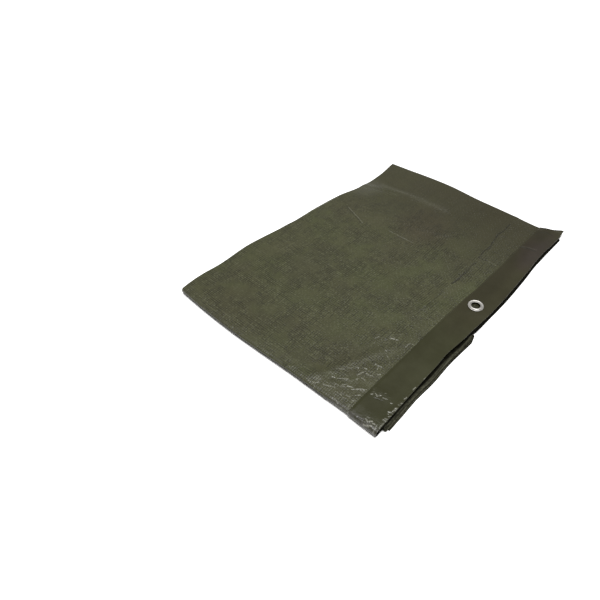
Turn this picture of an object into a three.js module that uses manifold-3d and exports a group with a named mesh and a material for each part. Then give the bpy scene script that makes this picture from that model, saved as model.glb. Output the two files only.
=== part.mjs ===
// Folded poly tarp with one hemmed edge on top and an aluminium eyelet in the hem.
// Millimetres, +Z up. While the pieces are shaped, X runs along the hem from its near corner,
// Y runs away from the hem across the panel, and Z = 0 is the surface the tarp lies on. At the
// end the whole group is moved so that its origin is the middle of its footprint.
import * as THREE from "three";
import { mergeVertices } from "three/addons/utils/BufferGeometryUtils.js";
import Module from "manifold-3d";

// Driving dimensions
const panelLength = 477; // one folded panel, along X
const panelWidth = 350; // one folded panel, along Y, at the wrapped fold
const clothThickness = 1.0; // a pressed bundle of plies
const hemWidth = 43.6; // at the wrapped fold
const hemThickness = 1.0;
const clearance = 0.3; // between two pieces that touch
const eyeletHole = 12; // free diameter
const eyeletOuter = 22; // flange diameter
const eyeletX = 257.8; // along the hem
const eyeletY = 21.6; // from the hem's outer edge

const clothColour = 0x55573f;
const hemColour = 0x45443a;
const metalColour = 0xc9c8c2;

// The section, one row for each run of cloth between two folds, from the tucked end up to the
// top panel and back under it. x0 and x1 are where the run starts and ends. wrapped, tucked
// and settled are the heights of its middle at the wrapped fold, over the tucked end and past
// it. near and setBack place its two long edges, bend is how much of the top panel's
// unevenness it shares.
const runs = [
  { x0: 27, x1: 214, wrapped: 0.5, tucked: 0.5, settled: 0.5, near: -6.3, setBack: 21, bend: 0 },
  { x0: 214, x1: 23, wrapped: 1.9, tucked: 1.9, settled: 1.9, near: -4.2, setBack: 12, bend: 0.05 },
  { x0: 23, x1: 472, wrapped: 3.3, tucked: 3.3, settled: 0.5, near: 0.3, setBack: 7, bend: 0 },
  { x0: 472, x1: 3.5, wrapped: 2.0, tucked: 4.7, settled: 2.1, near: 0.6, setBack: 2.5, bend: 0.25 },
  { x0: 3.5, x1: 476, wrapped: 8.0, tucked: 8.9, settled: 6.9, near: 0.9, setBack: 0, bend: 1 },
  { x0: 476, x1: 5, wrapped: 6.3, tucked: 7.5, settled: 5.3, near: 0.4, setBack: 4.5, bend: 0.8 },
  { x0: 5, x1: 466, wrapped: 4.7, tucked: 6.1, settled: 3.7, near: 0.8, setBack: 9, bend: 0.5 },
];
const topRun = 4;

// Where the heights above change from one to the next, along X
const wrappedRamp = { from: 2, to: 20 };
const tuckedRamp = { from: 210, to: 244 };

// Outlines of the top panel: its far edge over X, and its two folds over Y
const farEdge = [
  { x: 0, y: 349.6 },
  { x: 42, y: 350.4 },
  { x: 80, y: 347.6 },
  { x: 135, y: 348.4 },
  { x: 213, y: 338.6 },
  { x: 290, y: 334.4 },
  { x: 335, y: 329 },
  { x: 385, y: 317.2 },
  { x: 427, y: 315.4 },
  { x: 477, y: 320.5 },
];
const wrappedFold = [
  { y: 0, x: 1.5 },
  { y: 45, x: 3.7 },
  { y: 119, x: 1.2 },
  { y: 221, x: 2.2 },
  { y: 315, x: 5.2 },
  { y: 350, x: 8 },
];
const tightFold = [
  { y: 0, x: 479 },
  { y: 20, x: 482.5 },
  { y: 45, x: 480 },
  { y: 90, x: 482.3 },
  { y: 150, x: 482.8 },
  { y: 205, x: 486.3 },
  { y: 245, x: 484.6 },
  { y: 285, x: 480.5 },
  { y: 320, x: 477.5 },
];
const foldReach = 70; // how far from a fold its outline still shifts the cloth

// The tucked end stands out beyond this near edge, its corner is rounded off, and the hem's free
// corner stands out as an ear
const tuckedBeyond = -1;
const tuckedCorner = { from: 202, to: 216, rise: 3.2 };
const hemEdge = [
  { x: 0, y: -0.2 },
  { x: 92, y: 0.9 },
  { x: 216, y: -0.1 },
  { x: 310, y: 0.9 },
  { x: 350, y: 2.3 },
  { x: 390, y: 4.3 },
  { x: 425, y: 5.3 },
  { x: 460, y: 3.9 },
  { x: 478, y: 4.3 },
  { x: 497, y: 6.6 },
];
const hemInner = [
  { x: 0, y: hemWidth },
  { x: 135, y: 42.6 },
  { x: 260, y: 41.2 },
  { x: 310, y: 39 },
  { x: 360, y: 38 },
  { x: 497, y: 38.5 },
];
// Beyond the tucked end the runs' near edges are drawn in with the hem's
const drawnIn = [
  { x: 300, y: 0 },
  { x: 350, y: 1.8 },
  { x: 390, y: 3.9 },
  { x: 420, y: 4.5 },
  { x: 450, y: 3.9 },
  { x: 477, y: 4.6 },
];
const hemEnd = [
  { y: 0, x: 497 },
  { y: 6.3, x: 497 },
  { y: 20, x: 487.6 },
  { y: 32, x: 483.5 },
  { y: 45, x: 479.5 },
];
const earDroop = 1.4;

// Soft ridges and troughs of the top panel, each along a line of points
const creases = [
  {
    height: 1.5,
    halfWidth: 11,
    line: [
      { x: 384, y: 322 },
      { x: 398, y: 283 },
      { x: 411, y: 247 },
      { x: 419, y: 172 },
    ],
  },
  {
    height: 0.9,
    halfWidth: 13,
    line: [
      { x: 322, y: 275 },
      { x: 345, y: 225 },
      { x: 352, y: 180 },
      { x: 368, y: 140 },
    ],
  },
  {
    height: 0.8,
    halfWidth: 8,
    line: [
      { x: 209, y: 73 },
      { x: 356, y: 74 },
      { x: 475, y: 77 },
    ],
  },
  {
    height: 0.7,
    halfWidth: 9,
    line: [
      { x: 8, y: 112 },
      { x: 60, y: 88 },
      { x: 120, y: 62 },
    ],
  },
];

// Rows of points across the cloth, from the near edge, at the top panel's full width
const fineRows = [
  0, 14, 28, 44, 56, 65, 74, 83, 98, 118, 142, 168, 194, 220, 246, 270, 292, 314, 334, 350,
];
const plainRows = [0, 44, 118, 220, 314, 350];
const hemRows = [0, 0.16, 0.32, 0.48, 0.64, 0.82, 1];
const straightRows = 168; // rows nearer than this stay parallel to the hem

// Places of the stations along the section: how far apart they may lie on the top panel and on
// the runs under it, and the least distance from a run's end
const topSpacing = 15;
const plainSpacing = 48;
const leastSpacing = 1;
const rampSteps = 6;
const smallFoldSteps = 4;
const wrapSteps = 8;
const smallFoldRadius = 1.5; // folds wider than this get the wrapped fold's steps

function mix(a, b, t) {
  return a + (b - a) * t;
}

function smooth(value, { from, to }) {
  const t = Math.min(Math.max((value - from) / (to - from), 0), 1);
  return t * t * (3 - 2 * t);
}

// Reads a table of points as a function that runs straight from point to point
function follow(table, along, across, value) {
  if (value <= table[0][along]) return table[0][across];
  for (let i = 1; i < table.length; i++) {
    const a = table[i - 1];
    const b = table[i];
    if (value <= b[along]) {
      return mix(a[across], b[across], (value - a[along]) / (b[along] - a[along]));
    }
  }
  return table[table.length - 1][across];
}

function distanceToLine(line, x, y) {
  let best = Infinity;
  for (let i = 1; i < line.length; i++) {
    const a = line[i - 1];
    const b = line[i];
    const length2 = (b.x - a.x) ** 2 + (b.y - a.y) ** 2;
    const t = Math.min(Math.max(((x - a.x) * (b.x - a.x) + (y - a.y) * (b.y - a.y)) / length2, 0), 1);
    best = Math.min(best, Math.hypot(x - mix(a.x, b.x, t), y - mix(a.y, b.y, t)));
  }
  return best;
}

// How far the top panel lies above its level: broad slow waves and the creases
function unevenness(x, y) {
  const waves =
    0.3 * Math.sin(x / 61 + 0.6) * Math.sin(y / 74 + 0.4) + 0.2 * Math.sin((x + 0.7 * y) / 47 + 2.1);
  return 0.25 + waves;
}

function creaseHeight(x, y) {
  let sum = 0;
  for (const crease of creases) {
    const d = distanceToLine(crease.line, x, y) / crease.halfWidth;
    sum += crease.height * Math.exp(-d * d * 2);
  }
  return sum;
}

// Shifts a point's x so that the folds follow their outlines
function toOutline(x, y, startTable, endTable) {
  const atStart = Math.max(0, 1 - x / foldReach);
  const atEnd = Math.max(0, 1 - (panelLength - x) / foldReach);
  const start = follow(startTable, "y", "x", y);
  const end = follow(endTable, "y", "x", y) - panelLength;
  return x + start * atStart + end * Math.min(atEnd, 1);
}

function heightOfRun(run, x) {
  const past = smooth(x, tuckedRamp);
  return mix(mix(run.wrapped, run.tucked, smooth(x, wrappedRamp)), run.settled, past);
}

// The x places of a run's stations: close together on the ramps, wide apart between them
function stationsOfRun(run, spacing) {
  const low = Math.min(run.x0, run.x1);
  const high = Math.max(run.x0, run.x1);
  const places = new Set([low, high]);
  const add = (from, to, count) => {
    for (let i = 0; i <= count; i++) {
      const x = mix(from, to, i / count);
      if (x > low + leastSpacing && x < high - leastSpacing) places.add(x);
    }
  };
  const between = tuckedRamp.from - wrappedRamp.to;
  const beyond = panelLength - tuckedRamp.to;
  add(wrappedRamp.from, wrappedRamp.to, rampSteps - 1);
  add(wrappedRamp.to, tuckedRamp.from, Math.ceil(between / spacing));
  add(tuckedRamp.from, tuckedRamp.to, rampSteps);
  add(tuckedRamp.to, panelLength, Math.ceil(beyond / spacing));
  const sorted = [...places].sort((a, b) => a - b);
  return run.x0 < run.x1 ? sorted : sorted.reverse();
}

// A station is one line of points across the cloth: its x and z at the middle of the sheet,
// the edges it reaches, and the rows that it carries
function clothStations() {
  const stations = [];
  runs.forEach((run, index) => {
    const isTop = index === topRun;
    for (const x of stationsOfRun(run, isTop ? topSpacing : plainSpacing)) {
      stations.push({ x, z: heightOfRun(run, x), run, rows: isTop ? fineRows : plainRows });
    }
    const next = runs[index + 1];
    if (!next) return;
    const forward = run.x1 > run.x0;
    const zFrom = heightOfRun(run, run.x1);
    const zTo = heightOfRun(next, next.x0);
    const radius = Math.abs(zTo - zFrom) / 2;
    const steps = radius > smallFoldRadius ? wrapSteps : smallFoldSteps;
    const rows = isTop || index + 1 === topRun ? fineRows : plainRows;
    for (let i = 1; i < steps; i++) {
      const t = i / steps;
      const bulge = Math.sin(Math.PI * t) * radius * (forward ? 1 : -1);
      stations.push({
        x: mix(run.x1, next.x0, t) + bulge,
        z: mix(zFrom, zTo, (1 - Math.cos(Math.PI * t)) / 2),
        run,
        next,
        t,
        rows,
      });
    }
  });
  return stations;
}

function valueAt(station, name) {
  const { run, next, t } = station;
  return next ? mix(run[name], next[name], t) : run[name];
}

// Places a cloth point: row is its distance from the near edge at full width
function clothPoint(station, row, lift) {
  const x = station.x + lift.x;
  const corner = station.x > tuckedCorner.from ? smooth(station.x, tuckedCorner) * tuckedCorner.rise : 0;
  const tucked = valueAt(station, "near") < tuckedBeyond;
  const near = valueAt(station, "near") + (tucked ? corner : follow(drawnIn, "x", "y", station.x));
  const far = follow(farEdge, "x", "y", station.x) - valueAt(station, "setBack");
  const beyond = (row - straightRows) / (panelWidth - straightRows);
  const y = near + (row <= straightRows ? row : mix(straightRows, far - near, beyond));
  const bend = valueAt(station, "bend");
  const isTop = station.run === runs[topRun] && !station.next;
  const crease = isTop ? creaseHeight(station.x, y) : 0;
  const edges = tucked ? x : toOutline(x, y, wrappedFold, tightFold);
  return [edges, y, station.z + lift.z + bend * unevenness(station.x, y) + crease];
}

// The direction square to the section at each station, turned to the left of its way
function sideways(stations) {
  return stations.map((station, i) => {
    const a = stations[Math.max(i - 1, 0)];
    const b = stations[Math.min(i + 1, stations.length - 1)];
    const length = Math.hypot(b.x - a.x, b.z - a.z);
    return { x: -(b.z - a.z) / length, z: (b.x - a.x) / length };
  });
}

// Joins two lines of points that may have different rows, from the near edge to the far one
function zip(indices, lineA, rowsA, lineB, rowsB, flip) {
  let a = 0;
  let b = 0;
  while (a < lineA.length - 1 || b < lineB.length - 1) {
    const takeA = b === lineB.length - 1 || (a < lineA.length - 1 && rowsA[a + 1] <= rowsB[b + 1]);
    const third = takeA ? lineA[a + 1] : lineB[b + 1];
    if (flip) indices.push(lineA[a], third, lineB[b]);
    else indices.push(lineA[a], lineB[b], third);
    if (takeA) a++;
    else b++;
  }
}

// A closed sheet along the stations: two skins, two long rims and two ends. offset moves it
// off the stations, square to the section
function sheetGeometry(stations, thickness, offset, place) {
  const positions = [];
  const indices = [];
  const normals = sideways(stations);
  const addLine = (station, normal, side) =>
    station.rows.map((row) => {
      const away = offset + (side * thickness) / 2;
      const lift = { x: normal.x * away, z: normal.z * away };
      positions.push(...place(station, row, lift));
      return positions.length / 3 - 1;
    });
  const upper = stations.map((station, i) => addLine(station, normals[i], 1));
  const lower = stations.map((station, i) => addLine(station, normals[i], -1));
  const quad = (a, b, c, d) => indices.push(a, b, c, a, c, d);
  for (let i = 1; i < stations.length; i++) {
    const rowsA = stations[i - 1].rows;
    const rowsB = stations[i].rows;
    zip(indices, upper[i - 1], rowsA, upper[i], rowsB, false);
    zip(indices, lower[i - 1], rowsA, lower[i], rowsB, true);
    quad(lower[i - 1][0], lower[i][0], upper[i][0], upper[i - 1][0]);
    quad(upper[i - 1].at(-1), upper[i].at(-1), lower[i].at(-1), lower[i - 1].at(-1));
  }
  for (const [end, turned] of [
    [0, false],
    [stations.length - 1, true],
  ]) {
    for (let r = 1; r < stations[end].rows.length; r++) {
      const corners = [upper[end][r - 1], upper[end][r], lower[end][r], lower[end][r - 1]];
      quad(...(turned ? corners.reverse() : corners));
    }
  }
  const geometry = new THREE.BufferGeometry();
  geometry.setAttribute("position", new THREE.Float32BufferAttribute(positions, 3));
  geometry.setIndex(indices);
  return geometry;
}

// The hem lies on the top panel, wraps round the wrapped fold with it and ends underneath
const hemOffset = clothThickness / 2 + clearance + hemThickness / 2;
const hemUnderReach = 14;
const hemExtraPlaces = [236, 250, 265, 280, 294, 450, 461, 468, 473];
const eyeletBulge = { height: 0.8, from: 12, to: 34 }; // the hem is flat under the flange
const earStart = 485;

function hemStations() {
  const top = runs[topRun];
  const under = runs[topRun - 1];
  const inTurn = clothStations().filter(
    ({ run, next, x }) => (run === under && (next || x <= hemUnderReach)) || (run === top && !next),
  );
  const extra = hemExtraPlaces.map((x) => ({ x, z: heightOfRun(top, x), run: top }));
  const flat = inTurn.filter(({ run, next }) => run === top && !next).concat(extra);
  flat.sort((a, b) => a.x - b.x);
  const wrap = inTurn.filter(({ run }) => run === under);
  return [...wrap, ...flat].map((station) => ({ ...station, rows: hemRows }));
}

function hemPoint(station, row, lift) {
  const along = station.x * (hemEdge.at(-1).x / panelLength);
  const y = mix(follow(hemEdge, "x", "y", along), follow(hemInner, "x", "y", along), row);
  const x = toOutline(station.x + lift.x, y, wrappedFold, hemEnd);
  const fromEyelet = Math.hypot(station.x - eyeletX, y - eyeletY);
  const bulge = eyeletBulge.height * (1 - smooth(fromEyelet, eyeletBulge));
  const ear = smooth(x, { from: earStart, to: hemEdge.at(-1).x }) * earDroop;
  const crease = station.run === runs[topRun] ? creaseHeight(station.x, y) : 0;
  const bend = valueAt(station, "bend") * unevenness(station.x, y);
  return [x, y, station.z + lift.z + bend + crease + bulge - ear];
}

// Booleans
const wasm = await Module();
wasm.setup();

function toSolid(geometry) {
  const bare = geometry.clone();
  bare.deleteAttribute("normal");
  bare.deleteAttribute("uv");
  const merged = mergeVertices(bare, 1e-4);
  const mesh = new wasm.Mesh({
    numProp: 3,
    vertProperties: new Float32Array(merged.attributes.position.array),
    triVerts: new Uint32Array(merged.index.array),
  });
  return new wasm.Manifold(mesh);
}

function toGeometry(solid) {
  const mesh = solid.getMesh();
  const geometry = new THREE.BufferGeometry();
  geometry.setAttribute("position", new THREE.BufferAttribute(mesh.vertProperties, 3));
  geometry.setIndex(new THREE.BufferAttribute(mesh.triVerts, 1));
  return geometry;
}

function metalFinish() {
  return new THREE.MeshStandardMaterial({ color: metalColour, roughness: 0.32, metalness: 1 });
}

function clothFinish(color, roughness) {
  return new THREE.MeshStandardMaterial({ color, roughness, metalness: 0, side: THREE.DoubleSide });
}

const roundSides = 32;

// Turns a closed profile of [radius, height] points about the eyelet's axis
function turned(profile) {
  const points = profile.map(([radius, height]) => new THREE.Vector2(radius, height));
  points.push(points[0].clone());
  const geometry = new THREE.LatheGeometry(points, roundSides);
  geometry.rotateX(Math.PI / 2);
  return geometry;
}

const barrelWall = 0.7;
const barrelOuter = eyeletHole / 2 + barrelWall;
const flangeThickness = 0.6;
const outerRim = { width: 1.8, crown: 1, edge: 0.3, middle: 0.35, shoulder: 0.85, height: 0.95 };
const innerLip = { width: 1.8, crown: 1.1, height: 1.1, shoulder: 0.4, shoulderHeight: 0.95, start: 0.4 };
const washerThickness = 0.5;
const washerSetBack = 0.4; // its edge lies this far inside the flange's
const washerEdge = { lower: 0.2, upper: 0.3 };
const hemHoleSlack = 0.4;
const hemHole = barrelOuter + hemHoleSlack;
const punchHeight = 8;

// Height of the hem strip's two faces at the eyelet
const hemMiddle =
  heightOfRun(runs[topRun], eyeletX) +
  hemOffset +
  unevenness(eyeletX, eyeletY) +
  creaseHeight(eyeletX, eyeletY) +
  eyeletBulge.height;
const hemTop = hemMiddle + hemThickness / 2;
const hemUnder = hemMiddle - hemThickness / 2;

function cloth() {
  const geometry = sheetGeometry(clothStations(), clothThickness, 0, clothPoint);
  const mesh = new THREE.Mesh(geometry, clothFinish(clothColour, 0.5));
  mesh.name = "folded_cloth";
  return mesh;
}

function hem() {
  const strip = toSolid(sheetGeometry(hemStations(), hemThickness, hemOffset, hemPoint));
  const punch = new THREE.CylinderGeometry(hemHole, hemHole, punchHeight, roundSides);
  punch.rotateX(Math.PI / 2);
  punch.translate(eyeletX, eyeletY, hemMiddle);
  const mesh = new THREE.Mesh(toGeometry(strip.subtract(toSolid(punch))), clothFinish(hemColour, 0.45));
  mesh.name = "hem_strip";
  return mesh;
}

// The eyelet: a barrel through the hem, a flat flange with a rolled outer rim and inner lip
function eyelet() {
  const seat = hemTop + clearance;
  const foot = hemUnder - clearance - washerThickness;
  const bore = eyeletHole / 2;
  const rim = eyeletOuter / 2;
  const mesh = new THREE.Mesh(
    turned([
      [bore, foot],
      [barrelOuter, foot],
      [barrelOuter, seat],
      [rim - outerRim.edge, seat],
      [rim, seat + outerRim.middle],
      [rim - outerRim.edge, seat + outerRim.shoulder],
      [rim - outerRim.crown, seat + outerRim.height],
      [rim - outerRim.width, seat + flangeThickness],
      [bore + innerLip.width, seat + flangeThickness],
      [bore + innerLip.crown, seat + innerLip.height],
      [bore + innerLip.shoulder, seat + innerLip.shoulderHeight],
      [bore, seat + innerLip.start],
    ]),
    metalFinish(),
  );
  mesh.position.set(eyeletX, eyeletY, 0);
  mesh.name = "eyelet";
  return mesh;
}

// The washer under the hem that the barrel is set into
function washer() {
  const top = hemUnder - clearance;
  const inner = barrelOuter + clearance;
  const outer = eyeletOuter / 2 - washerSetBack;
  const mesh = new THREE.Mesh(
    turned([
      [inner, top - washerThickness],
      [outer - washerEdge.lower, top - washerThickness],
      [outer, top - washerEdge.lower],
      [outer - washerEdge.upper, top],
      [inner, top],
    ]),
    metalFinish(),
  );
  mesh.position.set(eyeletX, eyeletY, 0);
  mesh.name = "eyelet_washer";
  return mesh;
}

const tarp = new THREE.Group();
tarp.add(cloth(), hem(), eyelet(), washer());

// The origin is the middle of the footprint, on the surface that the tarp lies on
const box = new THREE.Box3().setFromObject(tarp);
tarp.position.set(-(box.min.x + box.max.x) / 2, -(box.min.y + box.max.y) / 2, -box.min.z);

export default tarp;
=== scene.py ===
# Looks of the folded poly tarp: woven cloth, heat-sealed hem and aluminium eyelet.
# Lengths in the dictionaries are millimetres from the tarp's near corner: x along the hem,
# y away from it across the panel, z up from the surface that the tarp lies on.
import math
import random

import bmesh
import bpy
import numpy as np
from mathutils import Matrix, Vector, noise


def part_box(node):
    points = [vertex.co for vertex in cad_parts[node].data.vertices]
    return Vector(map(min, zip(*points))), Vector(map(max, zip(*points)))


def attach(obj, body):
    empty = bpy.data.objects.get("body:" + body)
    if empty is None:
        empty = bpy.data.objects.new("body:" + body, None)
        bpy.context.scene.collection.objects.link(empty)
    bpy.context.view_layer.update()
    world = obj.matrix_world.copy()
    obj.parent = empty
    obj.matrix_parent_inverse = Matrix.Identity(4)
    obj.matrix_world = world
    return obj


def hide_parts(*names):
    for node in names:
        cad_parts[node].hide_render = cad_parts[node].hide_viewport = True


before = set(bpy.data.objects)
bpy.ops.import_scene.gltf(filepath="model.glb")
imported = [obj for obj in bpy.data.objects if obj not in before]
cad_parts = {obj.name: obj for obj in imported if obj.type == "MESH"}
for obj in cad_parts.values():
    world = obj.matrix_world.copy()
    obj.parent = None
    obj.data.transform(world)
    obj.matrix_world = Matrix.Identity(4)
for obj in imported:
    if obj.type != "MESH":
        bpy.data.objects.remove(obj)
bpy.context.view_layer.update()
mm = 0.001

# The eyelet's middle is 257.8 mm along the hem and 21.6 mm in from its edge
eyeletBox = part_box("eyelet")
eyeletPlace = {"x": 257.8, "y": 21.6}
cornerX = (eyeletBox[0][0] + eyeletBox[1][0]) / 2 - eyeletPlace["x"] * mm
cornerY = (eyeletBox[0][1] + eyeletBox[1][1]) / 2 - eyeletPlace["y"] * mm
print("frame loaded")

# Camera to the left of the near corner, looking 45 degrees down
camera = {"place": (-0.5820, -0.3596, 0.6005), "down": 45, "turn": -47.84, "lens": 36, "sensor": 36}


def makeCamera():
    data = bpy.data.cameras.new("camera")
    data.lens = camera["lens"]
    data.sensor_width = camera["sensor"]
    data.clip_start = 0.01
    eye = bpy.data.objects.new("camera", data)
    eye.location = camera["place"]
    eye.rotation_euler = (math.radians(90 - camera["down"]), 0, math.radians(camera["turn"]))
    bpy.context.scene.collection.objects.link(eye)
    bpy.context.scene.camera = eye


makeCamera()
print("camera placed")


def mix(a, b, t):
    return a + (b - a) * t


def smooth(value, start, end):
    t = np.clip((value - start) / (end - start), 0, 1)
    return t * t * (3 - 2 * t)


def curveThrough(points):
    # a smooth curve through a table of points, as a function
    a = np.array([point[0] for point in points], float)
    b = np.array([point[1] for point in points], float)
    slopes = np.gradient(b, a)

    def read(value):
        value = np.clip(value, a[0], a[-1])
        i = np.clip(np.searchsorted(a, value, side="right") - 1, 0, len(a) - 2)
        step = a[i + 1] - a[i]
        t = (value - a[i]) / step
        ends = (2 * t**3 - 3 * t**2 + 1) * b[i] + (3 * t**2 - 2 * t**3) * b[i + 1]
        lean = (t**3 - 2 * t**2 + t) * slopes[i] + (t**3 - t**2) * slopes[i + 1]
        return ends + lean * step

    return read


def noiseAt(x, y, sizeX, sizeY, seed):
    # smooth noise from -1 to 1, its lumps sizeX by sizeY mm
    return np.array([noise.noise(Vector((a / sizeX, b / sizeY, seed))) for a, b in zip(x, y)])


def distanceToLine(line, x, y):
    best = np.full(np.shape(x), 1e6)
    for (ax, ay), (bx, by) in zip(line, line[1:]):
        length2 = (bx - ax) ** 2 + (by - ay) ** 2
        t = np.clip(((x - ax) * (bx - ax) + (y - ay) * (by - ay)) / length2, 0, 1)
        best = np.minimum(best, np.hypot(x - mix(ax, bx, t), y - mix(ay, by, t)))
    return best


def records(names, table):
    # the rows of a table as dictionaries
    return [dict(zip(names.split(), row)) for row in table]


# The section of the folded cloth, one row for each run between two folds, from the tucked end
# to the top panel and back under it. wrapped, tucked and settled are a run's heights at the
# wrapped fold, over the tucked end and past it; near and setBack place its two long edges.
section = {
    "panelLength": 477,
    "panelWidth": 350,
    "runs": records("start end wrapped tucked settled near setBack bend", [
        (21, 215.5, 0.5, 0.5, 0.5, -6.3, 21, 0),
        (215.5, 17, 1.9, 1.9, 1.9, -4.2, 12, 0.05),
        (17, 472, 3.3, 3.3, 0.5, 0.3, 7, 0),
        (472, 3.5, 2.0, 4.7, 2.1, 0.6, 2.5, 0.25),
        (3.5, 476, 8.0, 8.9, 6.9, 0.9, 0, 1),
        (476, 5, 6.3, 7.5, 5.3, 0.4, 4.5, 0.8),
        (5, 466, 4.7, 6.1, 3.7, 0.8, 9, 0.5),
    ]),
    "topRun": 4,
    "lastTuckedNear": -2,
    "wrappedRamp": (2, 20),
    "tuckedRamp": (210, 244),
    "tuckedCorner": {"start": 206, "end": 216, "rise": 3.4},
    "straightRows": 168,
    "foldReach": 70,
    "reliefStart": {"full": -8, "length": 12},
    "reliefEnd": (492, 478),
}

# Outlines of the top panel: its far edge over x, and its two folds over y
farEdge = curveThrough([
    (0, 349.6), (42, 350.4), (80, 347.6), (135, 348.4), (213, 338.6),
    (290, 334.4), (335, 329), (385, 317.2), (427, 315.4), (477, 320.5),
])
wrappedFold = curveThrough([
    (0, 3.2), (22, 3.5), (45, 4.2), (90, 4.0), (132, 4.1), (180, 3.0), (221, 2.2), (315, 5.2),
    (350, 8),
])
tightFold = curveThrough([
    (0, 479), (20, 482.5), (45, 481), (90, 482.3), (150, 482.8), (205, 486.3), (245, 484.6),
    (285, 480.5), (320, 477.5),
])
# the lower plies' corners stick out under the hem's ear by this much at most
cornerReach = {"most": 9.5, "middle": 8, "halfWidth": 10, "ramp": (450, 472)}

# Each run's near edge is drawn back over the tucked end, and lies further out beyond it, where
# all of them are drawn in with the hem's edge
nearSlip = {
    "over": (0, 0, 0.9, 0.9, 0, 0.7, 0.8),
    "beyond": (0, 0, -2.4, -2.4, 0, -1.0, -1.8),
    "ramp": (206, 222),
}
drawnIn = curveThrough([
    (0, 0.4), (8, -0.6), (16, -1.4), (22, 0.9), (50, 1.5), (80, 2.0), (115, 2.9), (137, 3.1), (161, 4.3),
    (180, 3.2), (200, 1.5), (225, 0.4), (257, 0.2), (281, -0.5), (320, -0.3), (350, 1.0), (370, 2.0),
    (390, 3.6), (420, 4.1), (440, 4.0), (455, 3.7), (477, 3.5),
])
tuckedEdge = curveThrough([
    (17, 0.1), (40, 0.5), (60, 1.3), (85, 1.8), (100, 1.0), (113, 0.3), (125, 0.7), (149, 1.7),
    (165, 1.3), (185, 0.3), (200, -0.3), (216, -0.4),
])
hemEdge = curveThrough([
    (0, 0.8), (20, 1.2), (50, 1.9), (80, 2.5), (115, 3.3), (137, 3.5), (161, 4.7), (180, 3.6),
    (200, 1.9), (225, 1.1), (245, 0.6), (260, -0.2), (300, -0.5), (330, 0.2), (350, 0.9), (380, 2.0),
    (400, 3.0), (425, 4.5), (445, 4.5), (460, 3.3), (478, 3.0), (499, 5.5),
])

# Soft ridges of the top panel that all its plies follow
softCreases = records("height halfWidth line", [
    (1.5, 11, [(384, 322), (398, 283), (411, 247), (419, 172)]),
    (0.9, 13, [(322, 275), (345, 225), (352, 180), (368, 140)]),
    (0.8, 8, [(209, 73), (356, 74), (475, 77)]),
    (0.7, 9, [(8, 112), (60, 88), (120, 62)]),
])


def unevenness(x, y):
    waves = 0.3 * np.sin(x / 61 + 0.6) * np.sin(y / 74 + 0.4)
    return 0.25 + (waves + 0.2 * np.sin((x + 0.7 * y) / 47 + 2.1))


def addRidges(height, ridges, x, y):
    for ridge in ridges:
        away = distanceToLine(ridge["line"], x, y) / ridge["halfWidth"]
        height = height + ridge["height"] * np.exp(-2 * away**2)
    return height


def heightOfRun(run, x):
    low = mix(run["wrapped"], run["tucked"], smooth(x, *section["wrappedRamp"]))
    return mix(low, run["settled"], smooth(x, *section["tuckedRamp"]))


def toOutline(x, y, startCurve, endCurve):
    # shifts points so that the folds follow their outlines
    atStart = np.maximum(0, 1 - x / section["foldReach"])
    atEnd = np.clip(1 - (section["panelLength"] - x) / section["foldReach"], 0, 1)
    return x + startCurve(y) * atStart + (endCurve(y) - section["panelLength"]) * atEnd


# Steps of the cloth's mesh along the section, and its steps round a fold
meshStep = {
    "fine": 2.0, "fineUntil": 112, "top": 2.75, "hidden": 14, "ramp": 5, "beforeRamp": 4,
    "wrapRadius": 1.5, "wrapSteps": 14, "foldSteps": 6,
}


def placesOfRun(run, isTop):
    low, high = sorted((run["start"], run["end"]))
    ramps = (section["wrappedRamp"], section["tuckedRamp"])
    places = [low]
    while places[-1] < high:
        x = places[-1]
        if isTop:
            step = meshStep["fine"] if x < meshStep["fineUntil"] else meshStep["top"]
        else:
            onRamp = any(start - meshStep["beforeRamp"] < x < end for start, end in ramps)
            step = meshStep["ramp"] if onRamp else meshStep["hidden"]
        places.append(x + step)
    places[-1] = high
    if places[-1] - places[-2] < 1:
        del places[-2]
    return places if run["start"] < run["end"] else places[::-1]


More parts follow.
